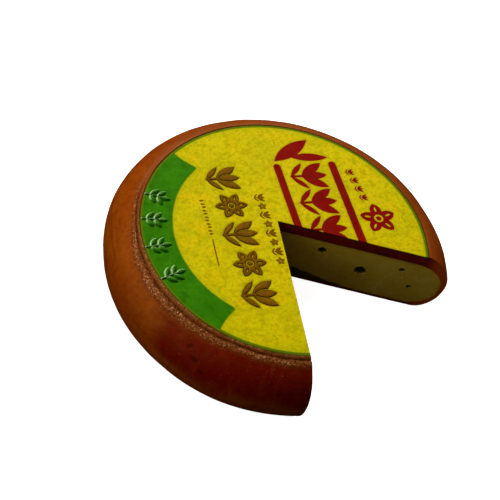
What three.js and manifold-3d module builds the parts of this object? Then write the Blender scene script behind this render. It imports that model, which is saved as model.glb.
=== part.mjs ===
// A waxed cheese wheel with one wedge cut out, in millimetres, +Z up.
// The origin is on the wheel's axis, in the plane that the wheel rests on.
// Three pieces: the pressed paste, the coloured coat that wraps it, and the printed disc let
// into the coat's top. One wedge is cut through all three, so its two faces are flush.
import * as THREE from "three";
import { mergeVertices } from "three/addons/utils/BufferGeometryUtils.js";
import Module from "manifold-3d";

const wasm = await Module();
wasm.setup();

// The wheel's own shape.
const WHEEL_RADIUS = 175;
const WHEEL_HEIGHT = 79;
const SHOULDER_WIDTH = 37.5; // how far in from the widest line the upper curve reaches
const HEEL_WIDTH = 26; // the same for the lower curve, down to the resting ring

// The coat round the paste.
const COAT_TOP = 14;
const COAT_SIDE = 4.6;
const COAT_BOTTOM = 3;
const PASTE_SHOULDER_WIDTH = 33.4;
const PASTE_HEEL_WIDTH = 35.4;

// The printed disc and the ring of coat round it.
const LABEL_MARGIN = 30.3; // from the disc's edge out to the widest line
const LABEL_THICKNESS = 0.9;
const LABEL_SUNK = 0.6; // how far the disc's face lies under the lip
const LIP_WIDTH = 3;
const GROOVE_WIDTH = 2.4;
const GROOVE_DEPTH = 3;
const RIDGE_WIDTH = 3.6;
const RIDGE_DROP = 1.6; // from the wheel's top down to the ridge's crest

// The wedge that is cut out. Its point lies a little past the wheel's axis.
const CUT_ANGLE = 72;
const CUT_MIDDLE = -45; // azimuth of the wedge's middle line, from +X towards +Y
const CUT_POINT_X = -9.5;
const CUT_POINT_Y = 11.9;
const CUT_MARGIN = 20; // how far the cutter runs past the wheel

const GAP = 0.3; // left between pieces that touch
const SIDES = 72; // a multiple of four, so the widest points fall on X and Y
const CURVE_STEPS = 6; // for each quarter of an outline
const EYE_SIDES = 12;

// Eyes that the knife opened. Out is the share of the way from the cut's point to the side, up is
// the share of the paste's height, and width is the mouth's, in millimetres.
const RIGHT_EYES = [
  { out: 0.277, up: 0.787, width: 7.8 },
  { out: 0.51, up: 0.518, width: 10.8 },
  { out: 0.716, up: 0.773, width: 5.3 },
  { out: 0.792, up: 0.411, width: 4.6 },
];
const LEFT_EYES = [
  { out: 0.231, up: 0.42, width: 6.4 },
  { out: 0.463, up: 0.758, width: 8.6 },
  { out: 0.636, up: 0.339, width: 11.2 },
  { out: 0.82, up: 0.661, width: 5 },
];
const EYE_SINK = 0.5; // an eye's centre lies this share of its mouth's radius under the face

const LABEL_RADIUS = WHEEL_RADIUS - LABEL_MARGIN;
const LABEL_FACE = WHEEL_HEIGHT - LABEL_SUNK;
const RIDGE_TOP = WHEEL_HEIGHT - RIDGE_DROP;
const PASTE_TOP = WHEEL_HEIGHT - COAT_TOP;
const CUT_REACH = WHEEL_RADIUS + Math.hypot(CUT_POINT_X, CUT_POINT_Y);

const radians = THREE.MathUtils.degToRad;

// A solid from a closed three.js geometry.
function solid(geometry) {
  const bare = geometry.clone();
  bare.deleteAttribute("normal");
  bare.deleteAttribute("uv");
  const merged = mergeVertices(bare, 1e-4);
  const vertProperties = new Float32Array(merged.attributes.position.array);
  const triVerts = new Uint32Array(merged.index.array);
  return new wasm.Manifold(new wasm.Mesh({ numProp: 3, vertProperties, triVerts }));
}

// A named mesh from a solid.
function piece(name, body, color, roughness) {
  const { vertProperties, triVerts, numProp } = body.getMesh();
  const positions = new Float32Array(triVerts.length * 3);
  triVerts.forEach((vertex, corner) => {
    positions.set(vertProperties.subarray(vertex * numProp, vertex * numProp + 3), corner * 3);
  });
  const geometry = new THREE.BufferGeometry();
  geometry.setAttribute("position", new THREE.BufferAttribute(positions, 3));
  geometry.computeVertexNormals();
  const material = new THREE.MeshStandardMaterial({ color, roughness, metalness: 0 });
  const mesh = new THREE.Mesh(geometry, material);
  mesh.name = name;
  return mesh;
}

// A quarter of an ellipse from one quarter angle to the next, round a middle point.
function quarter(middle, reach, from, to) {
  const points = [];
  for (let step = 0; step <= CURVE_STEPS; step += 1) {
    const turn = radians(from + ((to - from) * step) / CURVE_STEPS);
    const x = middle.x + reach.x * Math.cos(turn);
    const y = middle.y + reach.y * Math.sin(turn);
    points.push(new THREE.Vector2(x, y));
  }
  return points;
}

// The side of a wheel from its flat base up to its flat top, bulging out at mid height.
function bulge({ radius, bottom, top, heel, shoulder }) {
  const half = (top - bottom) / 2;
  const middle = bottom + half;
  const lower = quarter(
    new THREE.Vector2(radius - heel, middle),
    new THREE.Vector2(heel, half),
    -90,
    0,
  );
  const upper = quarter(
    new THREE.Vector2(radius - shoulder, middle),
    new THREE.Vector2(shoulder, half),
    0,
    90,
  );
  return [...lower, ...upper.slice(1)];
}

// An outline turned round the Z axis, closed on the axis at both its ends.
function turned(outline) {
  const closed = [new THREE.Vector2(0, outline[0].y), ...outline];
  closed.push(new THREE.Vector2(0, outline.at(-1).y));
  return solid(new THREE.LatheGeometry(closed, SIDES).rotateX(Math.PI / 2));
}

// The wedge, as a prism through the whole height.
function wedge() {
  const reach = (CUT_REACH + CUT_MARGIN) / Math.cos(radians(CUT_ANGLE / 2));
  const corners = [new THREE.Vector2(0, 0)];
  for (const side of [-1, 1]) {
    const azimuth = radians(CUT_MIDDLE + (side * CUT_ANGLE) / 2);
    corners.push(new THREE.Vector2(Math.cos(azimuth), Math.sin(azimuth)).multiplyScalar(reach));
  }
  const depth = WHEEL_HEIGHT + 2 * CUT_MARGIN;
  const prism = new THREE.ExtrudeGeometry(new THREE.Shape(corners), { depth, bevelEnabled: false });
  return solid(prism.translate(CUT_POINT_X, CUT_POINT_Y, -CUT_MARGIN));
}

// The eyes on one cut face. The side is 1 for the face that the wedge ends at and -1 for the
// face that it starts at.
function eyes(list, side) {
  const azimuth = radians(CUT_MIDDLE + (side * CUT_ANGLE) / 2);
  const along = new THREE.Vector3(Math.cos(azimuth), Math.sin(azimuth), 0);
  const inward = new THREE.Vector3(-side * along.y, side * along.x, 0);
  return list.map((eye) => {
    const mouth = eye.width / 2;
    const sink = mouth * EYE_SINK;
    const ball = new THREE.SphereGeometry(Math.hypot(mouth, sink), EYE_SIDES, EYE_SIDES / 2);
    const height = THREE.MathUtils.lerp(COAT_BOTTOM, PASTE_TOP, eye.up);
    const centre = new THREE.Vector3(CUT_POINT_X, CUT_POINT_Y, height)
      .addScaledVector(along, CUT_REACH * eye.out)
      .addScaledVector(inward, sink);
    return solid(ball.translate(centre.x, centre.y, centre.z));
  });
}

// The coat's outline inside the wheel, and with the gap taken off, the paste's own.
function pasteOutline(gap) {
  return bulge({
    radius: WHEEL_RADIUS - COAT_SIDE - gap,
    bottom: COAT_BOTTOM + gap,
    top: PASTE_TOP - gap,
    heel: PASTE_HEEL_WIDTH,
    shoulder: PASTE_SHOULDER_WIDTH,
  });
}

// The coat's outside: the bulge up to the ridge, then the groove, the lip and the recess.
function coatOutline() {
  const recess = LABEL_RADIUS + GAP;
  const lip = recess + LIP_WIDTH;
  const groove = lip + GROOVE_WIDTH;
  const ridge = groove + RIDGE_WIDTH;
  const whole = bulge({
    radius: WHEEL_RADIUS,
    bottom: 0,
    top: WHEEL_HEIGHT,
    heel: HEEL_WIDTH,
    shoulder: SHOULDER_WIDTH,
  });
  const sideTop = ridge + RIDGE_WIDTH / 2;
  const side = whole.filter((point) => point.y < WHEEL_HEIGHT / 2 || point.x > sideTop);
  return [
    ...side,
    new THREE.Vector2(ridge, RIDGE_TOP),
    new THREE.Vector2(groove, WHEEL_HEIGHT - GROOVE_DEPTH),
    new THREE.Vector2(lip, WHEEL_HEIGHT),
    new THREE.Vector2(recess, WHEEL_HEIGHT),
    new THREE.Vector2(recess, LABEL_FACE - LABEL_THICKNESS - GAP),
  ];
}

function rindCoat(cut) {
  const body = turned(coatOutline()).subtract(turned(pasteOutline(0))).subtract(cut);
  return piece("rind_coat", body, 0x8a3c0a, 0.45);
}

function cheesePaste(cut) {
  const opened = [...eyes(RIGHT_EYES, 1), ...eyes(LEFT_EYES, -1)];
  const whole = turned(pasteOutline(GAP)).subtract(cut);
  const body = opened.reduce((rest, eye) => rest.subtract(eye), whole);
  return piece("cheese_paste", body, 0xe0cf80, 0.55);
}

function topLabel(cut) {
  const edge = [
    new THREE.Vector2(LABEL_RADIUS, LABEL_FACE - LABEL_THICKNESS),
    new THREE.Vector2(LABEL_RADIUS, LABEL_FACE),
  ];
  return piece("top_label", turned(edge).subtract(cut), 0xd2c410, 0.5);
}

const cut = wedge();
const wheel = new THREE.Group();
wheel.add(cheesePaste(cut), rindCoat(cut), topLabel(cut));

export default wheel;
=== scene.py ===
# A low, round wheel of young cheese in a coloured coat, with a printed disc on top and a wedge
# cut out. The scene is in metres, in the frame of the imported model. Sizes here are in
# millimetres, and MM turns them into metres.
import math

import bmesh
import bpy
import numpy as np
from mathutils import Matrix, Vector, noise
from mathutils.geometry import delaunay_2d_cdt


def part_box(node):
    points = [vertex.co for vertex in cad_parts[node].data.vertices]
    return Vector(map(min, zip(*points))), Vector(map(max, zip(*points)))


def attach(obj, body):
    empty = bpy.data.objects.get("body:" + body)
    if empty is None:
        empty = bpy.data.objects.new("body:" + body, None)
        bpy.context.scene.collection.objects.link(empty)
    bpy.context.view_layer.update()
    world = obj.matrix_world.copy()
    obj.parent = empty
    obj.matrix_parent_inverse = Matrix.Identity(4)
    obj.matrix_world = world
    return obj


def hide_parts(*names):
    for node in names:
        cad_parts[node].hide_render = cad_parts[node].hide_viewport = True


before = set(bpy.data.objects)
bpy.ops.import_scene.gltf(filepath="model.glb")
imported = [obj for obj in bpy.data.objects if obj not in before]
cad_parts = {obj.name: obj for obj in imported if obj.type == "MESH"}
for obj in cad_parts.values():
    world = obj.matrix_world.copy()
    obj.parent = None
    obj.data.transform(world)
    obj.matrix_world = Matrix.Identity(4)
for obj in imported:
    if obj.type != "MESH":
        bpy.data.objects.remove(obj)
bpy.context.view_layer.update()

MM = 0.001


def sizes_of(box):
    """The radius, lower height and upper height in millimetres of a frame piece with this box."""
    low, high = (np.array(corner) / MM for corner in box)
    return -low[0], low[2], high[2]


WHEEL_RADIUS, _, WHEEL_HEIGHT = sizes_of(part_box("rind_coat"))
PASTE_RADIUS, PASTE_FLOOR, PASTE_TOP = sizes_of(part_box("cheese_paste"))
DISC_RADIUS, DISC_FLOOR, DISC_FACE = sizes_of(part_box("top_label"))

# How wide the rounded heel and shoulder of the coat and of the paste are, seen from above.
HEEL_WIDTH = 26.0
SHOULDER_WIDTH = 37.5
PASTE_HEEL_WIDTH = 35.4
PASTE_SHOULDER_WIDTH = 33.4
FRAME_GAP = 0.3  # what the frame leaves between the paste and the coat
PASTE_GAP = 0.06  # what is left here
RECESS_GAP, RECESS_UNDER = 0.25, 0.1  # round the printed disc, and under it
LIP_OUT, GROOVE_OUT, RIDGE_OUT, RING_OUT = 2.2, 4.9, 9.2, 16.0  # from the disc's edge outwards
LIP_DROP = 0.2  # below the wheel's top
LIP_RISE, GROOVE_RISE, RIDGE_RISE = 0.1, -1.5, 0.55  # above the smooth roll of the shoulder

LIP_SLOPE = 0.05  # of the coat's top beside the disc
JOIN_WITHIN = 0.004  # points nearer to each other than this become one
EDGE_SOFT = 5.0  # the knife's wander fades out over this length at the cut's point
INNER_RADIUS = 20.0  # inside this the rays from the cut's point are simply shared out


# ---- the cut, read off the disc

def read_cut():
    """The cut's point and the azimuths, seen from it, between which the cheese remains."""
    corners = np.array([v.co[:2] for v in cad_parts["top_label"].data.vertices]) / MM
    point = corners[np.argmin(np.hypot(*corners.T))]
    seen = corners - point
    seen = seen[np.hypot(*seen.T) > INNER_RADIUS]
    azimuths = np.sort(np.unique(np.round(np.arctan2(seen[:, 1], seen[:, 0]), 5)))
    gaps = np.diff(np.append(azimuths, azimuths[0] + math.tau))
    widest = int(np.argmax(gaps))
    first = azimuths[(widest + 1) % len(azimuths)]
    return point, first, first + math.tau - gaps[widest]


CUT_POINT, FIRST_AZIMUTH, LAST_AZIMUTH = read_cut()
CUT_AZIMUTHS = (FIRST_AZIMUTH, LAST_AZIMUTH)  # of the cut faces, side 0 and side 1


def ray(azimuth):
    return np.stack([np.cos(azimuth), np.sin(azimuth)], -1)


def reach(radius, azimuth):
    """How far from the cut's point a ray meets a circle round the wheel's axis."""
    along = ray(azimuth) @ CUT_POINT
    full = np.maximum(radius, INNER_RADIUS)
    out = -along + np.sqrt(along**2 + full**2 - CUT_POINT @ CUT_POINT)
    return out * np.minimum(radius / INNER_RADIUS, 1.0)


def from_cut(x, y):
    """How far points lie from the cut's point, seen from above."""
    return np.hypot(x - CUT_POINT[0], y - CUT_POINT[1])


def place(radius, azimuth, height):
    """Points at a radius from the axis, on rays from the cut's point."""
    flat = CUT_POINT + ray(azimuth) * reach(radius, azimuth)[..., None]
    return np.concatenate([flat, np.asarray(height)[..., None] * np.ones_like(flat[..., :1])], -1)


# ---- small tools

def wander(points, size, seed=0):
    """Smooth noise from about -1 to 1 at each point, with lumps of about that many millimetres."""
    shift = Vector((seed * 17.3, seed * 5.1, seed * 9.7))
    flat = np.asarray(points, float).reshape(-1, points.shape[-1])
    if flat.shape[1] == 2:
        flat = np.column_stack([flat, np.zeros(len(flat))])
    values = [noise.noise(Vector(p) + shift) for p in (flat / size).tolist()]
    return np.array(values).reshape(points.shape[:-1])


def ease(value, low, high):
    share = np.clip((value - low) / (high - low), 0.0, 1.0)
    return share * share * (3 - 2 * share)


def bell(value, middle, width):
    return np.exp(-(((value - middle) / width) ** 2))


def ellipse(middle, reach_out, reach_up, turn):
    return np.column_stack([middle[0] + reach_out * np.cos(turn), middle[1] + reach_up * np.sin(turn)])


def level(outs, height):
    """An outline's points at one height."""
    return np.column_stack([outs, np.full_like(outs, height)])


def put_in_scene(name, data):
    made = bpy.data.objects.new(name, data)
    bpy.context.scene.collection.objects.link(made)
    return made


def make_object(name, points, faces, materials, face_material=None, sharp=40):
    """A mesh piece from points in millimetres. Points that coincide are joined."""
    mesh = bpy.data.meshes.new(name)
    mesh.from_pydata((np.asarray(points) * MM).tolist(), [], faces)
    for material in materials:
        mesh.materials.append(material)
    if face_material is not None:
        mesh.polygons.foreach_set("material_index", np.asarray(face_material, np.int32))
    work = bmesh.new()
    work.from_mesh(mesh)
    bmesh.ops.remove_doubles(work, verts=work.verts, dist=JOIN_WITHIN * MM)
    bmesh.ops.recalc_face_normals(work, faces=work.faces)
    work.to_mesh(mesh)
    work.free()
    mesh.shade_smooth()
    mesh.set_sharp_from_angle(angle=math.radians(sharp))
    return put_in_scene(name, mesh)


def mesh_points(piece):
    co = np.empty(len(piece.data.vertices) * 3, np.float32)
    piece.data.vertices.foreach_get("co", co)
    return co.reshape(-1, 3).astype(float) / MM


def store(piece, name, values):
    """Keeps one number for each point, which a material reads by its name."""
    made = piece.data.attributes.new(name, "FLOAT", "POINT")
    made.data.foreach_set("value", np.asarray(values, np.float32))


def quads(grid):
    """The four-cornered faces of a grid of point numbers."""
    corners = (grid[:-1, :-1], grid[1:, :-1], grid[1:, 1:], grid[:-1, 1:])
    return np.stack([c.ravel() for c in corners], -1).tolist()


def gather(points, grid):
    """Adds a grid of points to a list of them, and returns the grid of their numbers."""
    start = sum(len(block) for block in points)
    points.append(grid.reshape(-1, 3))
    return start + np.arange(len(points[-1])).reshape(grid.shape[:2])


def stitch(fine, coarse, step):
    """Many-cornered faces between a fine row and a coarse one that has a point every few."""
    made = []
    for n in range(len(coarse) - 1):
        near = fine[n * step : (n + 1) * step + 1].tolist()
        made.append(near + [int(coarse[n + 1]), int(coarse[n])])
    return made


# ---- the coat

FINE_COLUMNS = 800  # round the wheel on the seen side
COARSE_STEP = 20  # hidden faces have a column for every so many fine ones
CAP_STEPS = 6  # across the coat at the cut
# Points along each stretch of the coat's outline.
BASE_POINTS, HEEL_POINTS, SHOULDER_POINTS, RING_POINTS, RECESS_POINTS = 26, 38, 36, 30, 40
SWELLS = ((70, 0.75, 11), (19, 0.28, 12), (6.5, 0.07, 13))  # each one's width, height and seed
CRUST_FADE = 5.6  # how far the crust runs down the shoulder
DIMPLE_DEPTH = 0.42
DIMPLE_ROWS = ((-120.5, 58.0, 1.0), (-93.0, 54.0, 0.6))  # azimuth, height and strength


def rolled_drop(out):
    """How far the ring outside the disc lies below the wheel's top where it rolls over smoothly
    into the shoulder."""
    turn = (DISC_RADIUS + RING_OUT - WHEEL_RADIUS + SHOULDER_WIDTH) / SHOULDER_WIDTH
    half = WHEEL_HEIGHT / 2
    end = half * (1 - math.sqrt(1 - turn**2))
    slope = half / SHOULDER_WIDTH * turn / math.sqrt(1 - turn**2)
    t = np.clip(out / RING_OUT, 0, 1)
    start = LIP_DROP * (1 - t) ** 2 * (1 + 2 * t) + LIP_SLOPE * RING_OUT * t * (1 - t) ** 2
    return start + end * t * t * (3 - 2 * t) + slope * RING_OUT * t * t * (t - 1)


def ring_width(azimuth):
    """How wide the ring round the disc is, as a share of its usual width. It is narrowest at the
    left, and a little narrow at the front."""
    degrees = np.degrees(azimuth) % 360
    left = ease(degrees, 110, 160) * (1 - ease(degrees, 183, 213))
    front = ease(degrees, 213, 268) * (1 - ease(degrees, 290, 340))
    return 1.12 - 0.5 * left - 0.32 * front


def ring_place(out, azimuth):
    """A distance out from the disc in the ring's own measure. The ring wanders a little."""
    line = DISC_RADIUS * ray(azimuth)
    return out / (ring_width(azimuth) + 0.12 * wander(line, 19, 51) + 0.08 * wander(line, 6, 52))


def ring_rise(out):
    """How far the coat was pressed up round the disc, or down where negative, at distances in the
    ring's own measure: a lip, a groove and a ridge."""
    outs = (RECESS_GAP, 1.0, LIP_OUT - 0.6, LIP_OUT + 0.9, GROOVE_OUT - 0.4, GROOVE_OUT + 0.5,
            RIDGE_OUT - 3.0, RIDGE_OUT - 1.0, RIDGE_OUT + 1.0, RIDGE_OUT + 3.2, RING_OUT)
    rises = (0.0, 0.1, LIP_RISE, 0.4 * GROOVE_RISE, GROOVE_RISE, GROOVE_RISE,
             0.3 * RIDGE_RISE, RIDGE_RISE, RIDGE_RISE, 0.6 * RIDGE_RISE, 0.0)
    return np.interp(out, outs, rises)


def coat_outline():
    """The coat's outline from the cut's point along the base, up the side and back along the top,
    each point beside the one inside the coat. Returns both and the rows of the seen stretch."""
    half = WHEEL_HEIGHT / 2
    paste_half = (PASTE_TOP - PASTE_FLOOR) / 2
    paste_middle = PASTE_FLOOR + paste_half
    heel = (WHEEL_RADIUS - HEEL_WIDTH, half)
    shoulder = (WHEEL_RADIUS - SHOULDER_WIDTH, half)
    paste_heel = (PASTE_RADIUS - PASTE_HEEL_WIDTH, paste_middle)
    paste_shoulder = (PASTE_RADIUS - PASTE_SHOULDER_WIDTH, paste_middle)
    ring_turn = math.acos((DISC_RADIUS + RING_OUT - shoulder[0]) / SHOULDER_WIDTH)

    low_turn = np.linspace(-math.pi / 2, 0, HEEL_POINTS)
    high_turn = np.linspace(0, ring_turn, SHOULDER_POINTS)[1:]
    base = np.linspace(0, heel[0], BASE_POINTS)[:-1]
    base_out = level(base, 0)
    base_in = level(base * paste_heel[0] / heel[0], PASTE_FLOOR)
    low_out = ellipse(heel, HEEL_WIDTH, half, low_turn)
    low_in = ellipse(paste_heel, PASTE_HEEL_WIDTH, paste_half, low_turn)
    high_out = ellipse(shoulder, SHOULDER_WIDTH, half, high_turn)
    high_in = ellipse(paste_shoulder, PASTE_SHOULDER_WIDTH, paste_half, high_turn)

    ring = np.linspace(RING_OUT, RECESS_GAP, RING_POINTS + 1)[1:]
    ring_out = np.column_stack([DISC_RADIUS + ring, WHEEL_HEIGHT - rolled_drop(ring)])
    ring_in = ellipse(paste_shoulder, PASTE_SHOULDER_WIDTH, paste_half,
                      np.linspace(ring_turn, math.pi / 2, RING_POINTS + 1)[1:])
    floor = np.linspace(DISC_RADIUS + RECESS_GAP, 0, RECESS_POINTS)
    floor_out = level(floor, DISC_FLOOR - RECESS_UNDER)
    floor_in = level(floor * paste_shoulder[0] / floor[0], PASTE_TOP)

    outside = np.concatenate([base_out, low_out, high_out, ring_out, floor_out])
    inside = np.concatenate([base_in, low_in, high_in, ring_in, floor_in])
    seen = (len(base_out), len(outside) - len(floor_out) - 1)
    return outside, inside, seen


def from_disc(points):
    """How far outside the printed disc's edge points lie, and their azimuths round the axis."""
    out = np.hypot(points[..., 0], points[..., 1]) - DISC_RADIUS
    return out, np.arctan2(points[..., 1], points[..., 0])


def ruggedness(azimuth):
    """How rough the ring round the disc is: crusty at the left and front, smooth elsewhere."""
    degrees = np.degrees(azimuth) % 360
    return 0.06 + 0.94 * ease(degrees, 140, 205) * (1 - ease(degrees, 290, 320))


def crust(points):
    """The share of crust at each point: full on the ridge, fading down the shoulder."""
    out, azimuth = from_disc(points)
    out = ring_place(out, azimuth)
    band = ease(out, GROOVE_OUT - 0.8, GROOVE_OUT + 1.2)
    band *= 1 - ease(out, RIDGE_OUT, RIDGE_OUT + CRUST_FADE)
    return band * (points[..., 2] > WHEEL_HEIGHT / 2) * ruggedness(azimuth)


def red_and_shaded_front(points):
    """Where the coat is painted deep red: the shoulder towards the cut at the front, a redder coat
    there with painted shade where it turns from the lamps, and a little beside the other cut face."""
    _, azimuth = from_disc(points)
    front = ease(np.degrees(azimuth) % 360 + 12 * wander(points, 34, 31), 200, 240)
    right = 0.22 * ease(np.degrees(azimuth), -20, -9) * (1 - ease(np.degrees(azimuth), 5, 40))
    height = ease(points[..., 2] + 10 * wander(points, 26, 32), 18, 56)
    return (front * (np.degrees(azimuth) < -60) + right) * height


def knife(points, side):
    """How far the knife wandered off its plane, in millimetres."""
    far = from_cut(points[..., 0], points[..., 1])
    seen = np.stack([far, points[..., 2]], -1)
    drift = 0.35 * wander(seen, 55, 3 + side) + 0.12 * wander(seen, 14, 5 + side)
    tears = 0.06 * wander(seen, 2.6, 7 + side)
    return (drift + tears) * ease(far, 0, EDGE_SOFT)


def across(side):
    """The direction out of the cheese at a cut face."""
    azimuth = CUT_AZIMUTHS[side]
    turn = (-1, 1)[side]
    return np.array([-math.sin(azimuth) * turn, math.cos(azimuth) * turn, 0.0])


def dimples(points):
    """Shallow worn marks in the coat near the front, two short slanted rows of plain ovals."""
    azimuth = np.degrees(np.arctan2(points[..., 1], points[..., 0]))
    depth = np.zeros(points.shape[:-1])
    uneven = 0.45 * wander(points, 3.4, 41)
    for middle, height, strength in DIMPLE_ROWS:
        for n in (-1, 0, 1):
            wide = (azimuth - middle - 3.1 * n) / (1.0 + 0.15 * math.cos(4 * n)) + uneven
            tall = (points[..., 2] - height + 7.5 * n) / (2.6 + 0.5 * math.sin(7 * n)) - uneven
            depth += strength * np.exp(-((wide**2 + tall**2) ** 2))
    return depth


def weather(points, normals):
    """The coat's surface as it really lies: slow swells, brush streaks, crust, dimples and the
    ring round the disc."""
    out, azimuth = from_disc(points)
    lift = sum(height * wander(points, width, seed) for width, height, seed in SWELLS)
    streaks = np.stack([azimuth * WHEEL_RADIUS / 9, points[..., 2], out], -1)
    lift += 0.06 * wander(streaks, 2.4, 14)
    lift += crust(points) * (0.5 * wander(points, 4.6, 15) + 0.45 * wander(points, 2.2, 16))
    lift -= DIMPLE_DEPTH * dimples(points)
    settle = ease(points[..., 2], 0.0, 6.0)  # the resting ring stays flat
    moved = points + normals * (lift * settle)[..., None]
    upper = points[..., 2] > WHEEL_HEIGHT / 2
    moved[..., 2] += ring_rise(ring_place(out, azimuth)) * ruggedness(azimuth) * upper
    return moved


def outline_normals(outline):
    slope = np.gradient(outline, axis=0)
    normal = np.column_stack([slope[:, 1], -slope[:, 0]])
    return normal / np.linalg.norm(normal, axis=1)[:, None]


def build_coat(materials):
    outside, inside, (low, high) = coat_outline()
    azimuths = np.linspace(FIRST_AZIMUTH, LAST_AZIMUTH, FINE_COLUMNS + 1)
    coarse = azimuths[::COARSE_STEP]
    normals = outline_normals(outside)
    seen = slice(low, high + 1)

    fine = place(outside[seen, 0][None], azimuths[:, None], outside[seen, 1][None])
    from_axis = fine[..., :2] / np.linalg.norm(fine[..., :2], axis=-1)[..., None]
    facing = np.concatenate([from_axis * normals[seen, 0][None, :, None],
                             np.broadcast_to(normals[seen, 1][None, :, None], fine.shape[:2] + (1,))], -1)
    fine = weather(fine, facing)
    whole = place(outside[:, 0][None], coarse[:, None], outside[:, 1][None])
    whole[:, seen] = fine[::COARSE_STEP]
    hollow = place(inside[:, 0][None], coarse[:, None], inside[:, 1][None])
    for column, side in ((0, 0), (-1, 1)):
        push = across(side)
        whole[column] += knife(whole[column], side)[:, None] * push
        hollow[column] += knife(hollow[column], side)[:, None] * push
        fine[column] = whole[column, seen]

    points, faces, kinds = [], [], []

    def skin(made, kind):
        faces.extend(made)
        kinds.extend([kind] * len(made))

    fine_numbers, whole_numbers, hollow_numbers = (gather(points, grid) for grid in (fine, whole, hollow))
    skin(quads(fine_numbers), 0)
    skin(quads(whole_numbers[:, : low]), 0)
    skin(quads(whole_numbers[:, high + 1 :]), 0)
    skin(stitch(fine_numbers[:, 0], whole_numbers[:, low - 1], COARSE_STEP), 0)
    skin(stitch(fine_numbers[:, -1], whole_numbers[:, high + 1], COARSE_STEP), 0)
    skin(quads(hollow_numbers), 1)
    for column, side in ((0, 0), (-1, 1)):
        share = np.linspace(0, 1, CAP_STEPS + 1)[:, None, None]
        cap = whole[column][None] * (1 - share) + hollow[column][None] * share
        flat = cap[1:-1] @ across(side)
        plane = CUT_POINT @ across(side)[:2]
        cap[1:-1] += (plane + knife(cap[1:-1], side) - flat)[..., None] * across(side)
        skin(quads(gather(points, cap)), 1)
    piece = make_object("rind_coat_surface", np.concatenate(points), faces, materials, kinds, sharp=50)
    mark_coat(piece)
    return piece


def mark_coat(piece):
    """Keeps at each point what the coat's materials read: how far out on the side it lies, how
    much it belongs to the ring's painted light, crust, groove, painted ridge highlight and lip, how
    dimpled it is, how far it is painted deep red and shaded, and its way round the wheel and down the
    side in metres."""
    where = mesh_points(piece)
    out, azimuth = from_disc(where)
    ring = ring_place(out, azimuth)
    upper = where[:, 2] > WHEEL_HEIGHT / 2
    on_top = (where[:, 2] > WHEEL_HEIGHT - 8) * ruggedness(azimuth)
    turn = np.arctan2(where[:, 2] - WHEEL_HEIGHT / 2, out + DISC_RADIUS - WHEEL_RADIUS + SHOULDER_WIDTH)
    for name, values in (
        ("side", ease(out, -8, 26)),
        ("painted_ring_light", (1 - ease(ring, RIDGE_OUT - 1, RIDGE_OUT + 9)) * upper),
        ("crust", crust(where)),
        ("groove", bell(ring, GROOVE_OUT, 1.8) * on_top),
        ("painted_ridge_highlight", bell(ring, RIDGE_OUT - 0.4, 2.4) * on_top),
        ("lip", bell(ring, LIP_OUT - 1.1, 1.6) * on_top),
        ("dimple", dimples(where)),
        ("deep", red_and_shaded_front(where)),
        ("around", azimuth * WHEEL_RADIUS * MM),
        ("down", turn * SHOULDER_WIDTH * MM),
    ):
        store(piece, name, values)


CRUMBS = 620
CRUMB_LARGEST = 0.95  # half the width of the largest crumb
CRUMB_SEED = 41
CRUMB_MARGIN = 0.02  # radians by a cut face that stay free of them


def build_crumbs(material):
    """Dried crumbs of the coat that stick along the ridge round the disc."""
    chance = np.random.default_rng(CRUMB_SEED)
    ball = bmesh.new()
    bmesh.ops.create_icosphere(ball, subdivisions=1, radius=1.0)
    shape = np.array([v.co for v in ball.verts])
    corners = np.array([[v.index for v in f.verts] for f in ball.faces])
    ball.free()
    points, faces = [], []
    while len(points) < CRUMBS:
        azimuth = chance.uniform(FIRST_AZIMUTH, LAST_AZIMUTH)
        rough = ruggedness(azimuth)
        out = chance.normal(RIDGE_OUT - 0.8, 1.5) * ring_width(azimuth)
        size = min(chance.gamma(3.0, 0.12) + 0.18, CRUMB_LARGEST) * (0.5 + 0.5 * rough)
        spin = Matrix.Rotation(chance.uniform(0, math.tau), 3, chance.normal(size=3))
        squeeze = chance.uniform(0.45, 1.0, 3) * size
        keep = rough > chance.uniform(0.3, 1.3)
        crumb = (shape * chance.uniform(0.75, 1.2, (len(shape), 1)) * squeeze) @ np.array(spin)
        spot = place(DISC_RADIUS + out, azimuth, 0.0)
        out, turn = from_disc(spot)
        height = WHEEL_HEIGHT - rolled_drop(out) + rough * ring_rise(ring_place(out, turn))
        middle = spot + (0, 0, height + 0.1 * size)
        if keep and FIRST_AZIMUTH + CRUMB_MARGIN < azimuth < LAST_AZIMUTH - CRUMB_MARGIN:
            faces.append(corners + len(points) * len(shape))
            points.append(crumb + middle)
    sides = np.concatenate(faces).tolist()
    piece = make_object("coat_crumbs", np.concatenate(points), sides, [material], sharp=30)
    mark_coat(piece)
    return piece


# ---- the paste

FACE_COLUMNS = 300
FACE_ROWS = 92
HIDDEN_COLUMNS = 24
# Eyes open on each cut face: share of the way out, share of the height, width in millimetres.
EYES = (
    ((0.277, 0.787, 7.8), (0.51, 0.518, 10.8), (0.716, 0.773, 5.3), (0.792, 0.411, 4.6)),
    ((0.231, 0.42, 6.4), (0.463, 0.758, 8.6), (0.636, 0.339, 11.2), (0.82, 0.661, 5.0)),
)
EYE_RADIUS, EYE_DEPTH = 0.56, 0.7  # as shares of an eye's width
MOUTH_PULL = 0.42  # points this near to an eye's edge are pulled onto it
PINHOLES = 46
SMALLEST_EYE = 1.5  # a hole with a smaller radius is a pinhole and stays round
FOOT_SHADOW_REACH, FOOT_SHADOW_HEIGHT = 95, 20  # of the painted shadow on the paste's foot by the cut's point
LONGEST_CUT = WHEEL_RADIUS + float(np.hypot(*CUT_POINT))


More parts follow.
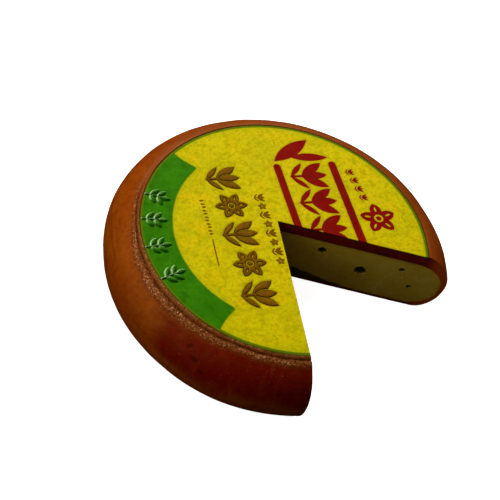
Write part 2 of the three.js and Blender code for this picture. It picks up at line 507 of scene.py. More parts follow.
def paste_outline():
    """The lower and upper curves of the paste, from the cut's point out to the side."""
    grown = FRAME_GAP - PASTE_GAP
    radius = PASTE_RADIUS + grown
    low, high = PASTE_FLOOR - grown, PASTE_TOP + grown
    half = (high - low) / 2
    turn = np.linspace(math.pi / 2, 0, FACE_COLUMNS // 3 + 1)
    curves = []
    for width, way in ((PASTE_HEEL_WIDTH, -1), (PASTE_SHOULDER_WIDTH, 1)):
        curve = ellipse((radius - width, low + half), width, way * half, turn)
        flat = np.linspace(0, curve[0, 0], FACE_COLUMNS - len(turn) + 2)[:-1]
        curves.append(np.concatenate([level(flat, curve[0, 1]), curve]))
    return curves


def eye_mouths(side):
    """Every hole on a cut face as distance out, height, radius and depth: eyes, then pinholes."""
    chance = np.random.default_rng(7 + side)
    holes = []
    for out, up, width in EYES[side]:
        height = PASTE_FLOOR + up * (PASTE_TOP - PASTE_FLOOR)
        holes.append((LONGEST_CUT * out, height, width * EYE_RADIUS, width * EYE_DEPTH))
    for _ in range(PINHOLES):
        radius = chance.uniform(0.45, 1.1)
        spot = (chance.uniform(12, 172), chance.uniform(8, 60))
        holes.append((*spot, radius, radius * chance.uniform(0.5, 1.0)))
    return holes


def open_eyes(seen, side):
    """How deep the face lies in its eyes, and the same points with those by a mouth pulled to it."""
    depth = np.zeros(seen.shape[:-1])
    moved = seen.copy()
    for out, height, radius, deep in eye_mouths(side):
        offset = moved - (out, height)
        squash = np.array([1.0, 1.08]) if radius > SMALLEST_EYE else 1.0
        far = np.linalg.norm(offset * squash, axis=-1)
        ragged = radius * (1 + 0.05 * np.sin(3 * np.arctan2(offset[..., 1], offset[..., 0]) + out))
        near = (np.abs(far - ragged) < MOUTH_PULL) & (radius > SMALLEST_EYE)
        pull = np.where(near, ragged / np.maximum(far, 1e-6), 1.0)
        moved = (out, height) + offset * pull[..., None]
        bowl = np.clip(1 - (far / ragged) ** 2.6, 0, 1) ** 0.5
        depth = np.maximum(depth, deep * bowl * (far < ragged - 0.2))
    return moved, depth


def cut_face(curves, side):
    """One cut face of the paste as a grid of points, eyes and all."""
    share = np.linspace(0, 1, FACE_ROWS + 1)[None, :, None]
    azimuth = CUT_AZIMUTHS[side]
    lower, upper = (np.column_stack([reach(c[:, 0], np.full(len(c), azimuth)), c[:, 1]]) for c in curves)
    seen = lower[:, None] * (1 - share) + upper[:, None] * share
    column, row = np.arange(FACE_COLUMNS + 1)[:, None], np.arange(FACE_ROWS + 1)[None]
    inner = (column > 0) & (row > 0) & (row < FACE_ROWS)
    moved, depth = open_eyes(seen, side)
    moved = np.where(inner[..., None], moved, seen)
    flat = CUT_POINT + moved[..., :1] * ray(azimuth)
    points = np.concatenate([flat, moved[..., 1:]], -1)
    push = knife(points, side) - depth * inner
    return points + push[..., None] * across(side)


def build_paste(material):
    curves = paste_outline()
    faces = [cut_face(curves, side) for side in (0, 1)]
    rim = np.concatenate([curves[0], curves[1][-2::-1]])
    azimuths = np.linspace(FIRST_AZIMUTH, LAST_AZIMUTH, HIDDEN_COLUMNS + 1)
    hull = place(rim[:, 0][None], azimuths[:, None], rim[:, 1][None])
    for column, face in ((0, faces[0]), (-1, faces[1])):
        hull[column] = np.concatenate([face[:, 0], face[-2::-1, -1]])
    points = []
    made = quads(gather(points, hull))
    for face in faces:
        made += quads(gather(points, face))
    piece = make_object("cheese_paste_body", np.concatenate(points), made, [material], sharp=38)
    where = mesh_points(piece)
    from_base = where[:, 2] - PASTE_FLOOR
    from_side = PASTE_RADIUS - np.hypot(where[:, 0], where[:, 1])
    store(piece, "rim", np.minimum.reduce([PASTE_TOP - where[:, 2], from_base, from_side]) * MM)
    # Painted shade: dark inside each eye, with a fainter painted shadow ring round its mouth.
    hollow = np.zeros(len(where))
    for side in (0, 1):
        below = CUT_POINT @ across(side)[:2] - where @ across(side)
        for out, height, radius, _ in eye_mouths(side)[: len(EYES[side])]:
            middle = np.append(CUT_POINT + out * ray(CUT_AZIMUTHS[side]), height)
            gap = np.linalg.norm(where - middle, axis=1)
            inside = ease(below, 0.1, 0.9) * (gap < radius * 1.9)
            edge = 0.35 * (1 - ease(gap, radius, radius + 1.6))
            hollow = np.maximum(hollow, np.maximum(inside, edge))
    store(piece, "eye", hollow)
    # Painted shadow: the paste's foot by the cut's point is darkened where shade falls in the notch.
    far = from_cut(where[:, 0], where[:, 1])
    edge = FOOT_SHADOW_HEIGHT * (1 - far / FOOT_SHADOW_REACH) + 2 * wander(where, 9, 61)
    store(piece, "painted_foot_shadow", ease(edge - from_base, -2.5, 3.5) * (far < FOOT_SHADOW_REACH))
    return piece


# ---- the printed disc

PRINT_UP = math.radians(13.6)  # azimuth that the print's top points to
PRINT_ALONG = PRINT_UP - math.pi / 2
BORDER_IN, BORDER_OUT = 3.2, 1.8  # the thin green ring, in from the disc's edge
BANNER_IN, BANNER_OUT = 31.5, 1.7
BANNER_MIDDLE, BANNER_HALF = math.radians(192.5), math.radians(49.3)
FINE_PITCH, OPEN_PITCH = 0.62, 1.86  # spacing of the disc's points, by an outline and elsewhere
BEVEL = (-0.57, 0.57)  # the sprigs are printed as if lit from this side
PRINT_NEAR = 1.5  # points lie close together this near to an outline
EDGE_POINTS, SPOKE_PITCH = 780, 0.9  # points on the disc's round edge, and their spacing on its cut
SPRIG_AZIMUTHS, SPRIG_OUT, SPRIG_SIZE = (169.5, 182.5, 196.5, 212.0), 130.0, 25
DENTS = (((-88, -12), 1.6), ((-47, 92), 1.2), ((33, 22), 1.0), ((-12, -96), 1.4))  # and their widths
FAR = 9.0  # distances to an outline are kept up to this many millimetres


def disc(p, middle, radius):
    return np.hypot(p[0] - middle[0], p[1] - middle[1]) - radius


def bar(p, start, end, width):
    """Distance to a straight stroke with round ends."""
    run = np.subtract(end, start)
    share = np.clip(((p[0] - start[0]) * run[0] + (p[1] - start[1]) * run[1]) / (run @ run), 0, 1)
    return np.hypot(p[0] - start[0] - share * run[0], p[1] - start[1] - share * run[1]) - width / 2


def leaf(p, start, end, width):
    """Distance to a pointed oval from tip to tip, where two round edges cross."""
    run = np.subtract(end, start)
    length = math.hypot(*run)
    along = ((p[0] - start[0]) * run[0] + (p[1] - start[1]) * run[1]) / length - length / 2
    aside = np.abs((p[1] - start[1]) * run[0] - (p[0] - start[0]) * run[1]) / length
    radius = (length**2 + width**2) / (4 * width)
    return np.hypot(along, aside + radius - width / 2) - radius


def joined(*shapes):
    return np.minimum.reduce(shapes)


def without(shape, hole):
    return np.maximum(shape, -hole)


def tulip(p, size, open_cup=True):
    """A tulip with its stem and two leaves, of unit height times size, about its own middle. An
    open cup shows a gap on both sides of its middle petal."""
    q = (p[0] / size, p[1] / size)
    middle = leaf(q, (0, -0.12), (0, 0.5), 0.25)
    sides = joined(leaf(q, (-0.02, -0.2), (-0.42, 0.44), 0.27), leaf(q, (0.02, -0.2), (0.42, 0.44), 0.27))
    if open_cup:
        sides = without(sides, middle - 0.035)
    leaves = joined(leaf(q, (0, -0.5), (-0.44, -0.1), 0.15), leaf(q, (0, -0.5), (0.44, -0.1), 0.15))
    return joined(middle, sides, bar(q, (0, -0.12), (0, -0.48), 0.08), leaves) * size


def rosette(p, size, petals=6):
    """A flower of pointed petals, each with a slit, round a dot in an open ring."""
    q = (p[0] / size, p[1] / size)
    shapes, slits = [], []
    for n in range(petals):
        turn = math.tau * (n + 0.5) / petals
        tip = np.array((0.5 * math.cos(turn), 0.5 * math.sin(turn)))
        shapes.append(leaf(q, (0, 0), tip, 1.6 / petals))
        slits.append(leaf(q, 0.42 * tip, 0.78 * tip, 0.055))
    flower = without(without(joined(*shapes), joined(*slits)), disc(q, (0, 0), 0.125))
    return joined(flower, disc(q, (0, 0), 0.075)) * size


def sprig(p, size):
    """A stalk with two pairs of broad leaves and a bud."""
    q = (p[0] / size, p[1] / size)
    shapes = [bar(q, (0, -0.5), (0, 0.2), 0.07), leaf(q, (0, 0.1), (0, 0.5), 0.19)]
    for foot in (-0.34, -0.05):
        for way in (-1, 1):
            shapes.append(leaf(q, (0, foot), (way * 0.36, foot + 0.3), 0.19))
    return joined(*shapes) * size


def print_axes(x, y):
    """The disc's points along the print's rows and up its height."""
    return (x * math.cos(PRINT_ALONG) + y * math.sin(PRINT_ALONG),
            x * math.cos(PRINT_UP) + y * math.sin(PRINT_UP))


def around(p, middle):
    """The same points, measured from a middle."""
    return p[0] - middle[0], p[1] - middle[1]


def brown_print(x, y):
    """The broad row of flowers, the small row of them, and the fine row of leaves with its rule."""
    p = print_axes(x, y)
    large, small, fine = [], [], []
    for n in range(5):
        q = around(p, (-72.5 + 36 * n, -48))
        large.append(tulip(q, 34) if n % 2 == 0 else rosette(q, 33))
    for n in range(8):
        q = around(p, (-44.5 + 11.4 * n, -17))
        small.append(tulip(q, 11.5, False) if n % 2 == 0 else rosette(q, 9.5, 5))
    for n in range(11):
        start = (-45 + 4.2 * n, -79.2 + 0.3 * (n % 3))
        fine.append(leaf(p, start, np.add(start, (0.9 * (n % 2), 4.6)), 2.4))
    fine.append(bar(p, (4, -77.0), (35, -78.6), 1.3))
    return joined(*large), joined(*small), joined(*fine)


def red_print(x, y):
    """Three large tulips between two broad rules, two leaves before them, small tulips and a
    flower."""
    p = print_axes(x, y)
    shapes = [tulip(around(p, (-70 + 35.5 * n, 44.0)), 39.5, False) for n in range(3)]
    shapes += [leaf(p, (-92, 12), (-120, 56), 16), leaf(p, (-97, 30), (-94, 72), 11)]
    shapes += [bar(p, (-84, 13), (20, 13), 8.0), bar(p, (-84, 74), (40, 74), 8.5)]
    for n in range(4):
        shapes.append(tulip(around(p, (-72 + 11.8 * n, 90.0 + 1.3 * n)), 9.5, False))
    shapes.append(rosette(around(p, (-8, 101)), 39, 5))
    return joined(*shapes)


def green_print(x, y):
    """The thin ring near the edge and the broad banner."""
    radius = np.hypot(x, y)
    middle = DISC_RADIUS - (BORDER_IN + BORDER_OUT) / 2
    ring = np.abs(radius - middle) - (BORDER_IN - BORDER_OUT) / 2
    inner, outer = DISC_RADIUS - BANNER_IN, DISC_RADIUS - BANNER_OUT
    turn = (np.arctan2(y, x) - BANNER_MIDDLE + math.pi) % math.tau - math.pi
    across_band = np.clip((outer - radius) / (outer - inner), 0, 1)
    ends = (np.abs(turn) - BANNER_HALF - 0.05 * across_band * (across_band - 0.8)) * radius
    bend = 3.0  # the inner corners are rounded
    corner = np.hypot(np.maximum(inner - radius + bend, 0), np.maximum(ends + bend, 0)) - bend
    inside = np.minimum(np.maximum(inner - radius, ends), 0)
    banner = np.maximum(corner + np.where(corner > -bend, 0, inside + bend), radius - outer)
    return joined(ring, banner)


def banner_relief(x, y):
    """The four raised sprigs on the banner, standing with their stalks to the edge."""
    shapes = []
    for degrees in SPRIG_AZIMUTHS:
        turn = math.radians(degrees)
        out, aside = (math.cos(turn), math.sin(turn)), (math.sin(turn), -math.cos(turn))
        q = around((x, y), (SPRIG_OUT * out[0], SPRIG_OUT * out[1]))
        local = (q[0] * aside[0] + q[1] * aside[1], -(q[0] * out[0] + q[1] * out[1]))
        shapes.append(sprig(local, SPRIG_SIZE))
    return joined(*shapes)


def disc_edge():
    """The disc's edge, from the cut's point out, round, and back."""
    azimuths = np.linspace(FIRST_AZIMUTH, LAST_AZIMUTH, EDGE_POINTS)
    rim = place(DISC_RADIUS, azimuths, 0.0)[:, :2]
    spokes = []
    for azimuth in CUT_AZIMUTHS:
        length = reach(DISC_RADIUS, azimuth)
        run = np.linspace(0, length, int(length / SPOKE_PITCH))
        spokes.append(CUT_POINT + run[:, None] * ray(azimuth))
    return np.concatenate([spokes[0][:-1], rim, spokes[1][-2:0:-1]])


def disc_spots():
    """Points inside the disc: close together by a printed outline and wide apart elsewhere."""
    count = int(DISC_RADIUS / FINE_PITCH) + 1
    steps = np.arange(-count, count + 1)
    column, row = (axis.ravel() for axis in np.meshgrid(steps, steps, indexing="ij"))
    x, y = (column + 0.5 * (row % 2)) * FINE_PITCH, row * FINE_PITCH
    azimuth = (np.arctan2(y - CUT_POINT[1], x - CUT_POINT[0]) - FIRST_AZIMUTH) % math.tau
    far = from_cut(x, y)
    span = LAST_AZIMUTH - FIRST_AZIMUTH
    margin = 0.5 * FINE_PITCH
    inside = (np.hypot(x, y) < DISC_RADIUS - margin) & (azimuth < span)
    for turn in (azimuth, span - azimuth):
        inside &= far * np.sin(np.minimum(turn, math.pi / 2)) > margin
    x, y, column, row = x[inside], y[inside], column[inside], row[inside]
    outlines = [*brown_print(x, y), red_print(x, y), green_print(x, y), banner_relief(x, y)]
    near = np.min(np.abs(outlines), axis=0) < PRINT_NEAR
    every = round(OPEN_PITCH / FINE_PITCH)
    kept = near | ((column % every == 0) & (row % every == 0))
    return np.column_stack([x[kept], y[kept]])


def disc_relief(x, y):
    """How far the disc's face stands above or below level: embossed print, waves and dents."""
    large, small, fine = brown_print(x, y)
    flat = np.column_stack([x, y])
    lift = 0.7 * (1 - ease(large, -1.7, 0.1)) - 0.45 * bell(large, 0.75, 0.6)
    lift += 0.3 * (1 - ease(small, -0.9, 0.1)) - 0.2 * bell(small, 0.6, 0.5)
    lift -= 0.2 * (1 - ease(fine, -0.4, 0.2))
    raised = banner_relief(x, y)
    lift += 1.4 * (1 - ease(raised, -0.8, 0.1)) - 0.4 * bell(raised, 0.75, 0.5)
    lift -= 0.14 * (1 - ease(red_print(x, y), -0.5, 0.4))
    lift += 0.12 * (1 - ease(green_print(x, y), -0.4, 0.4))
    lift += 0.28 * wander(flat, 38, 21) + 0.07 * wander(flat, 7, 22)
    lift -= 0.32 * bell(np.abs(disc((x, y), (41, -17), 4.4)), 0, 0.7) * (x > 41)
    for middle, size in DENTS:
        lift -= 0.4 * bell(disc((x, y), middle, 0), 0, size)
    rim = DISC_RADIUS - np.hypot(x, y)
    return lift * ease(rim, 0.0, 1.5) - 0.25 * bell(rim, 0, 0.7)


def build_disc(material):
    edge, spots = disc_edge(), disc_spots()
    flat = [Vector(p) for p in np.concatenate([edge, spots]).tolist()]
    loop = [list(range(len(edge)))]
    placed, _, faces, came_from, _, _ = delaunay_2d_cdt(flat, [], loop, 1, 1e-5)
    top = np.array([tuple(p) for p in placed])
    height = DISC_FACE + disc_relief(top[:, 0], top[:, 1])
    points = np.column_stack([top, height])
    under = np.column_stack([edge, np.full(len(edge), DISC_FLOOR)])
    found = {origin: n for n, origins in enumerate(came_from) for origin in origins}
    ring = [found[n] for n in range(len(edge))]
    base = len(points) + np.arange(len(edge))
    walls = [[ring[n], ring[n - 1], int(base[n - 1]), int(base[n])] for n in range(len(edge))]
    made = [list(f) for f in faces] + walls + [base[::-1].tolist()]
    piece = make_object("printed_disc", np.concatenate([points, under]), made, [material], sharp=46)
    where = mesh_points(piece)
    x, y = where[:, 0], where[:, 1]
    large, small, fine = brown_print(x, y)
    for name, distance in (("brown", large), ("small_brown", joined(small, fine)), ("red", red_print(x, y)),
                           ("green", green_print(x, y)), ("sprigs", banner_relief(x, y)),
                           ("sprig_painted_light", banner_relief(x + BEVEL[0], y + BEVEL[1]) - banner_relief(x, y)),
                           ("edge", DISC_RADIUS - np.hypot(x, y))):
        store(piece, name, np.clip(distance, -FAR, FAR))
    return piece


# ---- materials

MIX_SOCKETS = {"RGBA": (6, 7, 2), "FLOAT": (2, 3, 0)}  # a Mix node's two inputs and its result


def linear(code):
    """An sRGB hex colour as the linear numbers that a shader takes."""
    shares = [int(code[n : n + 2], 16) / 255 for n in (1, 3, 5)]
    return (*[s / 12.92 if s <= 0.04045 else ((s + 0.055) / 1.055) ** 2.4 for s in shares], 1.0)


def add(tree, kind, gives, sockets, **settings):
    """Adds a node, sets it up, feeds its sockets with numbers, hex colours or other nodes'
    outputs, and returns the output that is asked for."""
    made = tree.nodes.new(kind)
    for name, value in settings.items():
        setattr(made, name, value)
    for name, value in sockets.items():
        if isinstance(value, bpy.types.NodeSocket):
            tree.links.new(value, made.inputs[name])
        else:
            made.inputs[name].default_value = linear(value) if isinstance(value, str) else value
    return None if gives is None else made.outputs[gives]


def start_material(name, grain_sizes=(), marks=(), **plain):
    """A new material and its shader, whose plain numbers sit on the shader's own sockets. With
    them come its fields: noises, by the size of their lumps in millimetres, and the numbers that
    the mesh holds at each point, by their names."""
    made = bpy.data.materials.new(name)
    made.use_nodes = True
    tree = made.node_tree
    shader = tree.nodes["Principled BSDF"]
    for socket, value in plain.items():
        shader.inputs[socket.replace("_", " ")].default_value = value
    where = add(tree, "ShaderNodeTexCoord", "Object", {})
    fields = {}
    for size in grain_sizes:
        sockets = {"Vector": where, "Scale": 1 / (size * MM), "Detail": 3.0, "Roughness": 0.58}
        fields[size] = add(tree, "ShaderNodeTexNoise", "Fac", sockets)
    for mark in marks:
        fields[mark] = add(tree, "ShaderNodeAttribute", "Fac", {}, attribute_name=mark)
    return made, tree, shader, where, fields


def layered(tree, fields, under, *layers):
    """Colours or numbers laid over one another. Each layer has its value and its strength, and
    shows where all of the fields that it names run from low to high."""
    kind = "FLOAT" if isinstance(under, float) else "RGBA"
    base, over, result = MIX_SOCKETS[kind]
    for value, strength, *limits in layers:
        for name, low, high in limits:
            sockets = {"Value": fields[name], "From Min": low, "From Max": high, "To Max": strength}
            strength = add(tree, "ShaderNodeMapRange", "Result", sockets, interpolation_type="SMOOTHSTEP")
        under = add(tree, "ShaderNodeMix", result, {0: strength, base: under, over: value}, data_type=kind)
    return under


def finish_surface(tree, shader, fields, colour, gloss, *reliefs):
    """Feeds a shader its colour, its roughness unless that is plain, and its fine relief: each
    field's name with its depth in millimetres."""
    tree.links.new(colour, shader.inputs["Base Color"])
    if gloss is not None:
        tree.links.new(gloss, shader.inputs["Roughness"])
    under = {}
    for name, depth in reliefs:
        sockets = {"Height": fields[name], "Distance": depth * MM, "Strength": 1.0, **under}
        under = {"Normal": add(tree, "ShaderNodeBump", "Normal", sockets)}
    tree.links.new(under["Normal"], shader.inputs["Normal"])


def brushed_cheese_coat():
    """Cheese coating, an orange-brown plastic dispersion brushed on in thin layers over weeks of
    ripening. The eye sees a smooth satin shell, a little cloudy and streaked by the brush, deep
    red on the front shoulder, partly painted shade, and painted light on the ring's top, with
    dried crumbs and beads along the ring and a painted highlight and painted glints on its ridge."""
    made, tree, shader, where, fields = start_material(
        "brushed_cheese_coat", (70, 24, 9, 3.2, 1.3),
        ("crust", "painted_ridge_highlight", "painted_ring_light", "groove", "lip", "around", "down", "dimple", "deep"),
        IOR=1.47, Specular_IOR_Level=0.24, Specular_Tint=(1.0, 0.48, 0.1, 1.0),
        Subsurface_Weight=0.05, Subsurface_Scale=0.003, Subsurface_Radius=(1.0, 0.3, 0.08),
    )
    brushed = add(tree, "ShaderNodeCombineXYZ", "Vector", {"X": fields["around"], "Y": fields["down"]})
    # Brush strokes 5 mm wide: long ones round the wheel, and shorter ones down its side.
    for way, stretch in (("long strokes", (0.08, 1.0, 1.0)), ("short strokes", (1.0, 0.22, 1.0))):
        along = add(tree, "ShaderNodeMapping", "Vector", {"Vector": brushed, "Scale": stretch})
        sockets = {"Vector": along, "Scale": 1 / (5 * MM), "Detail": 3.0, "Roughness": 0.5}
        fields[way] = add(tree, "ShaderNodeTexNoise", "Fac", sockets)
    # Flakes and beads of dried coat, up to 1.7 mm across, which also place the painted glints.
    sockets = {"Vector": where, "Scale": 1 / (1.7 * MM), "Detail": 3.0, "Roughness": 0.62, "Distortion": 0.6}
    fields["flakes"] = add(tree, "ShaderNodeTexNoise", "Fac", sockets)
    on_lip, in_crust = ("lip", 0.2, 0.8), ("crust", 0.2, 0.8)
    colour = layered(
        tree, fields, "#963f00",
        ("#a44e02", 0.8, (70, 0.46, 0.66)),
        ("#7c2c00", 0.5, (24, 0.50, 0.70)),
        ("#a85408", 0.35, ("short strokes", 0.52, 0.74)),
        ("#6e2200", 0.4, ("short strokes", 0.46, 0.26)),
        # Partly painted shade: the front shoulder, turned from the lamps, is painted darker and redder.
        ("#720000", 0.94, ("deep", 0.1, 0.9)),
        ("#b05608", 0.16, ("short strokes", 0.46, 0.72), (24, 0.40, 0.58)),
        ("#4c0800", 0.35, ("long strokes", 0.54, 0.74)),
        ("#5a1200", 0.4, (9, 0.54, 0.74)),
        ("#561000", 0.4, (3.2, 0.56, 0.70)),
        ("#360400", 0.55, ("dimple", 0.1, 0.9)),
        # Painted light: the ring's top, which faces the lamps, is kept a lighter orange-brown.
        ("#8c3e0a", 0.75, ("painted_ring_light", 0.0, 0.9)),
        ("#6e3410", 0.7, ("groove", 0.1, 0.8)),
        ("#2e0f02", 0.85, ("groove", 0.2, 0.8), (3.2, 0.42, 0.56)),
        ("#744a1c", 0.8, on_lip),
        ("#32180a", 0.6, on_lip, ("flakes", 0.49, 0.40)),
        ("#ac8250", 0.65, on_lip, ("flakes", 0.53, 0.61)),
        # Painted highlight along the ridge.
        ("#ac6226", 0.75, ("painted_ridge_highlight", 0.1, 0.9)),
        ("#5a2008", 0.6, in_crust, ("flakes", 0.46, 0.36)),
        # Lighter and pale flakes on the crust and the ridge: partly dried beads, partly painted glints.
        ("#bc7038", 0.65, in_crust, ("flakes", 0.50, 0.60)),
        ("#d89468", 0.8, ("crust", 0.1, 0.6), ("flakes", 0.60, 0.67)),
        ("#f4b084", 0.9, ("painted_ridge_highlight", 0.3, 0.8), ("flakes", 0.55, 0.62), (9, 0.42, 0.54)),
        # Pale specks over the coat, partly painted glints.
        ("#c88c60", 0.6, (1.3, 0.65, 0.70), (9, 0.45, 0.6)),
    )
    gloss = layered(
        tree, fields, 0.42,
        (0.52, 1.0, (9, 0.35, 0.7)),
        (0.24, 0.9, ("crust", 0.15, 0.7)),
        (0.6, 0.7, ("groove", 0.2, 0.8)),
    )
    fields["beads"] = layered(tree, fields, 0.0, (1.0, 1.0, ("crust", 0.1, 0.8), ("flakes", 0.3, 0.75)))
    finish_surface(tree, shader, fields, colour, gloss, (9, 0.3), ("long strokes", 0.08),
                   ("short strokes", 0.08), (3.2, 0.08), (1.3, 0.035), ("beads", 1.0))
    return made


def sliced_cheese_coat():
    """The same coating where the knife went through it: dense and dull, dark red where it is
    thick on top and orange where it thins down the side, with faint drag lines along the cut, painted
    shadow lines along the seams by the disc and the paste, and a few crumbs of paste smeared on it."""
    made, tree, shader, where, fields = start_material(
        "sliced_cheese_coat", (18, 5, 2.4, 1.1), ("side",),
        IOR=1.47, Specular_IOR_Level=0.25, Specular_Tint=(1.0, 0.75, 0.6, 1.0), Roughness=0.52,
    )
    drawn = add(tree, "ShaderNodeMapping", "Vector", {"Vector": where, "Scale": (0.15, 0.15, 1.0)})
    sockets = {"Vector": drawn, "Scale": 1 / (1.5 * MM), "Detail": 3.0, "Roughness": 0.6}
    fields["drag"] = add(tree, "ShaderNodeTexNoise", "Fac", sockets)
    fields["height"] = add(tree, "ShaderNodeSeparateXYZ", "Z", {"Vector": where})
    disc_seam, paste_seam = DISC_FLOOR * MM, PASTE_TOP * MM
    colour = layered(
        tree, fields, "#7c1508",
        ("#5a0c06", 0.7, (18, 0.42, 0.68)),
        ("#8e260c", 0.5, (5, 0.48, 0.72)),
        ("#3f0604", 0.5, ("drag", 0.5, 0.72)),
        ("#cc520e", 0.9, ("side", 0.0, 0.8)),
        # Painted shadow lines: dark along the seam under the disc and along the seam with the paste.
        ("#160203", 0.9, ("height", disc_seam - 1.8 * MM, disc_seam - 0.3 * MM), ("side", 0.24, 0.12)),
        ("#2c0404", 0.8, ("height", paste_seam + 1.6 * MM, paste_seam + 0.4 * MM),
         ("height", paste_seam - 1.0 * MM, paste_seam), ("side", 0.05, 0.0)),
        ("#e6c88a", 0.8, (1.1, 0.67, 0.72), (5, 0.5, 0.6)),
    )
    finish_surface(tree, shader, fields, colour, None, ("drag", 0.12), (2.4, 0.14), (1.1, 0.05))
    return made


def young_cheese_paste():
    """Pressed young cheese, cut with a knife: smooth, slightly moist and a little see-through,
    with faint curd joints, drier and deeper in colour next to the coat, with painted shade in its
    eyes and round their mouths, and a painted shadow over its foot by the cut's point."""
    made, tree, shader, where, fields = start_material(
        "young_cheese_paste", (42, 13, 5, 2.6, 1.2, 0.9), ("rim", "eye", "painted_foot_shadow"),
        IOR=1.45, Specular_IOR_Level=0.3, Specular_Tint=(1.0, 0.8, 0.3, 1.0),
        Subsurface_Weight=0.15, Subsurface_Scale=0.004, Subsurface_Radius=(1.0, 0.6, 0.2),
    )
    # Curd grains as they press together, 7 mm across.
    sockets = {"Vector": where, "Scale": 1 / (7 * MM), "Randomness": 1.0}
    fields["joints"] = add(tree, "ShaderNodeTexVoronoi", "Distance", sockets, feature="DISTANCE_TO_EDGE")
    colour = layered(
        tree, fields, "#d6b134",
        ("#c9a020", 0.6, (42, 0.40, 0.66)),
        ("#e0c04c", 0.5, (13, 0.46, 0.70)),
        ("#c3981c", 0.35, (5, 0.52, 0.72)),
        ("#bd8f28", 0.3, ("joints", 0.06, 0.0)),
        ("#ecd48c", 0.4, (1.2, 0.62, 0.72)),
        ("#b98c24", 0.5, ("rim", 0.0052, 0.0010)),
        ("#8a5a14", 0.6, ("rim", 0.0012, 0.0003)),
        # Painted shade inside the eyes and round their mouths.
        ("#120a02", 0.96, ("eye", 0.1, 0.9)),
        # Painted shadow over the paste's foot by the cut's point.
        ("#140e06", 0.85, ("painted_foot_shadow", 0.2, 0.9)),
    )
    moist = layered(tree, fields, 0.42, (0.58, 1.0, (5, 0.3, 0.7)))
    finish_surface(tree, shader, fields, colour, moist, ("joints", 0.02), (2.6, 0.10), (0.9, 0.035))
    return made


def printed_cheese_disc():
    """A disc of casein and paper, printed, pressed onto the wet coat and brushed over with it. The
    eye sees strong, slightly blotchy inks on a fibrous ground, pressed-in pictures with painted shade
    in their grooves, raised sprigs with painted highlights and shadows on their edges, painted shadow
    at the disc's edge, grey-green specks of soiling and a dull varnish."""
    made, tree, shader, _, fields = start_material(
        "printed_cheese_disc", (60, 20, 8, 3.4, 1.8, 1.1, 0.7),
        ("brown", "small_brown", "red", "green", "sprigs", "sprig_painted_light", "edge"),
        IOR=1.46, Specular_IOR_Level=0.04, Specular_Tint=(1.0, 0.6, 0.0, 1.0),
    )
    # The inks' edges wander by a quarter of a millimetre.
    sockets = {0: fields[1.8], 1: 0.5, 2: -0.25}
    wobble = add(tree, "ShaderNodeMath", "Value", sockets, operation="MULTIPLY_ADD")
    for name in ("brown", "small_brown", "red", "green", "sprigs", "edge"):
        fields[name] = add(tree, "ShaderNodeMath", "Value", {0: fields[name], 1: wobble}, operation="ADD")
    yellow = layered(
        tree, fields, "#dcc800",
        ("#c8bb00", 0.7, (60, 0.42, 0.64)),
        ("#e6c400", 0.8, (20, 0.50, 0.66)),
        ("#b8a800", 0.65, (8, 0.48, 0.66)),
        ("#ab9c00", 0.5, (3.4, 0.52, 0.66)),
        ("#ecda00", 0.5, (3.4, 0.46, 0.32)),
        ("#978a00", 0.45, (1.8, 0.56, 0.68)),
        ("#686206", 0.55, (0.7, 0.64, 0.73), (8, 0.46, 0.60)),
    )
    green = layered(
        tree, fields, "#2f7a00",
        ("#388a02", 0.6, (20, 0.45, 0.66)),
        ("#246200", 0.65, (8, 0.50, 0.70)),
        ("#1f5600", 0.5, (3.4, 0.54, 0.70)),
        ("#4f9410", 0.4, (1.1, 0.62, 0.74)),
    )
    red = layered(
        tree, fields, "#8a0000",
        ("#760000", 0.7, (20, 0.45, 0.66)),
        ("#940400", 0.5, (3.4, 0.52, 0.70)),
        ("#5e0000", 0.45, (1.8, 0.56, 0.70)),
        ("#a43008", 0.35, (0.7, 0.66, 0.76)),
    )
    brown = layered(
        tree, fields, "#7c5002",
        ("#8e6404", 0.6, (8, 0.44, 0.64)),
        ("#583604", 0.5, (3.4, 0.52, 0.70)),
    )
    colour = layered(
        tree, fields, yellow,
        ("#b39a00", 0.45, ("red", 2.2, 0.4)),
        (red, 1.0, ("red", 0.16, -0.16)),
        ("#a8b400", 0.3, ("green", 7.0, 1.0)),
        ("#6f7a02", 0.6, ("green", 1.4, 0.0)),
        (green, 1.0, ("green", 0.3, -0.3)),
        ("#5e7402", 0.85, ("edge", 3.3, 2.3)),
        ("#357a0c", 0.8, ("sprigs", 0.1, -0.2)),
        # Painted shadow and painted highlight on the sprigs' edges: dark on one side, pale on the other, as
        # if lit from the side that BEVEL gives.
        ("#0e3c00", 0.7, ("sprigs", 1.1, 0.3), ("sprig_painted_light", 0.15, -0.35)),
        ("#bcdc9c", 0.95, ("sprigs", 0.5, 0.0), ("sprigs", -1.3, -0.7), ("sprig_painted_light", 0.0, 0.5)),
        ("#8c7a02", 0.5, ("brown", 2.2, 0.6)),
        # Painted shade: a dark band in the pressed groove round the brown pictures.
        ("#432400", 1.0, ("brown", 0.55, 0.15)),
        (brown, 1.0, ("brown", -0.25, -0.75)),
        ("#744402", 0.95, ("small_brown", 0.22, -0.14)),
        ("#585006", 0.85, ("edge", 1.7, 1.0)),
        # Painted shadow along the disc's very edge, where it meets the gap round it.
        ("#2c2004", 0.9, ("edge", 0.8, 0.3)),
    )
    varnish = layered(
        tree, fields, 0.42,
        (0.58, 1.0, (8, 0.3, 0.7)),
        (0.28, 0.8, ("sprigs", 1.5, 0.0)),
    )
    finish_surface(tree, shader, fields, colour, varnish, (8, 0.10), (3.4, 0.10),
                   (1.1, 0.06), (0.7, 0.02))
    return made


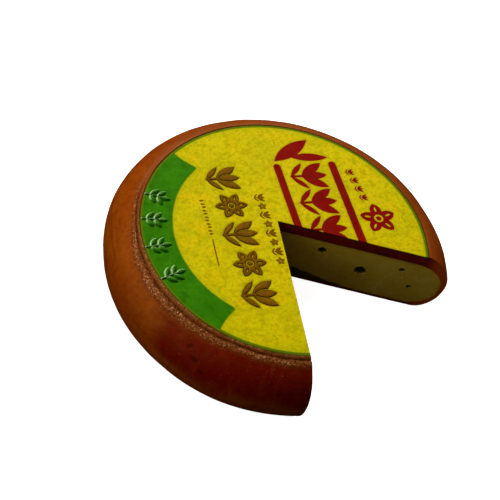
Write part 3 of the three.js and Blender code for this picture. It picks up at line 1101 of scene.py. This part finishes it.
def lit_opal_sheet():
    """A sheet of opal acrylic lit from below, as product pictures are taken on: plain, matt and
    near white, with only the palest shadows."""
    made, _, shader, *_ = start_material("lit_opal_sheet", Roughness=0.9, Specular_IOR_Level=0.0)
    shader.inputs["Base Color"].default_value = linear("#f4f4f4")
    shader.inputs["Emission Color"].default_value = linear("#ffffff")
    shader.inputs["Emission Strength"].default_value = SHEET_GLOW
    return made


# ---- the stage

CAMERA_LENS = 76.917
CAMERA_PLACE = (-0.21489, -0.67084, 0.84660)
CAMERA_RIGHT = (0.97803585, -0.02149076, 0.20732589)
CAMERA_UP = (-0.11460003, 0.77539744, 0.62098763)
SHEET_HALF = 12.0  # half the width of the sheet that the wheel lies on
SHEET_GLOW = 0.93
BACKDROP_SEEN, BACKDROP_GIVEN = 1.0, 0.02  # the brightness that it shows and that it gives
SOFTBOX_WIDTH, SOFTBOX_AWAY = 1.3, 1.7
# Each softbox with its azimuth, its elevation and its power in watts. Most light comes from
# behind and above, some from the left, and the front gets little.
SOFTBOXES = (
    ("back_softbox", 90, 50, 23.4),
    ("left_softbox", 175, 42, 9.2),
    ("low_left_softbox", 205, 18, 5.8),
    ("front_softbox", 270, 50, 1.1),
)


def set_camera():
    """The camera looks down on the wheel from the front, rolled a little."""
    right, up = Vector(CAMERA_RIGHT), Vector(CAMERA_UP)
    data = bpy.data.cameras.new("camera")
    data.lens = CAMERA_LENS
    data.sensor_width = 36.0
    camera = put_in_scene("camera", data)
    turn = Matrix((right, up, right.cross(up))).transposed().to_4x4()
    camera.matrix_world = Matrix.Translation(CAMERA_PLACE) @ turn
    bpy.context.scene.camera = camera


def softbox(name, azimuth, elevation, power):
    """A square area light that faces the wheel's middle."""
    data = bpy.data.lights.new(name, "AREA")
    data.shape = "SQUARE"
    data.size = SOFTBOX_WIDTH
    data.energy = power
    lamp = put_in_scene(name, data)
    turn, rise = math.radians(azimuth), math.radians(elevation)
    away = Vector((math.cos(turn) * math.cos(rise), math.sin(turn) * math.cos(rise), math.sin(rise)))
    lamp.location = away * SOFTBOX_AWAY
    lamp.rotation_mode = "QUATERNION"
    lamp.rotation_quaternion = away.to_track_quat("Z", "Y")


def set_world(seen, given):
    """A pale backdrop to look at. Only its upper half lights the wheel, and only a little."""
    world = bpy.data.worlds.new("studio")
    bpy.context.scene.world = world
    world.use_nodes = True
    tree = world.node_tree
    tree.nodes.clear()
    looks = add(tree, "ShaderNodeLightPath", "Is Camera Ray", {})
    towards = add(tree, "ShaderNodeTexCoord", "Generated", {})
    rise = add(tree, "ShaderNodeSeparateXYZ", "Z", {"Vector": towards})
    share = add(tree, "ShaderNodeMapRange", "Result", {"Value": rise, "From Min": -0.02, "From Max": 0.1})
    strength = add(tree, "ShaderNodeMath", "Value", {0: share, 1: given}, operation="MULTIPLY")
    light = add(tree, "ShaderNodeBackground", 0, {"Color": "#ffffff", "Strength": strength})
    backdrop = add(tree, "ShaderNodeBackground", 0, {"Color": "#ffffff", "Strength": seen})
    both = add(tree, "ShaderNodeMixShader", 0, {0: looks, 1: light, 2: backdrop})
    add(tree, "ShaderNodeOutputWorld", None, {"Surface": both})


def set_stage():
    """The lit sheet, the backdrop and the softboxes."""
    corners = [(x * SHEET_HALF, y * SHEET_HALF, 0) for x, y in ((-1, -1), (1, -1), (1, 1), (-1, 1))]
    mesh = bpy.data.meshes.new("floor")
    mesh.from_pydata(corners, [], [(0, 1, 2, 3)])
    mesh.materials.append(lit_opal_sheet())
    floor = put_in_scene("floor", mesh)
    floor.visible_diffuse = False
    floor.visible_glossy = False
    set_world(BACKDROP_SEEN, BACKDROP_GIVEN)
    for name, azimuth, elevation, power in SOFTBOXES:
        softbox(name, azimuth, elevation, power)
    bpy.context.scene.view_settings.view_transform = "Standard"


# ---- put together

set_camera()
coat_skin, coat_section = brushed_cheese_coat(), sliced_cheese_coat()
coat = build_coat([coat_skin, coat_section])
crumbs = build_crumbs(coat_skin)
paste = build_paste(young_cheese_paste())
label = build_disc(printed_cheese_disc())
for piece, slot in ((coat, "coat"), (crumbs, "coat"), (paste, "paste"), (label, "label")):
    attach(piece, "root")
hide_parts("rind_coat")
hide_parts("cheese_paste")
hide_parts("top_label")
set_stage()
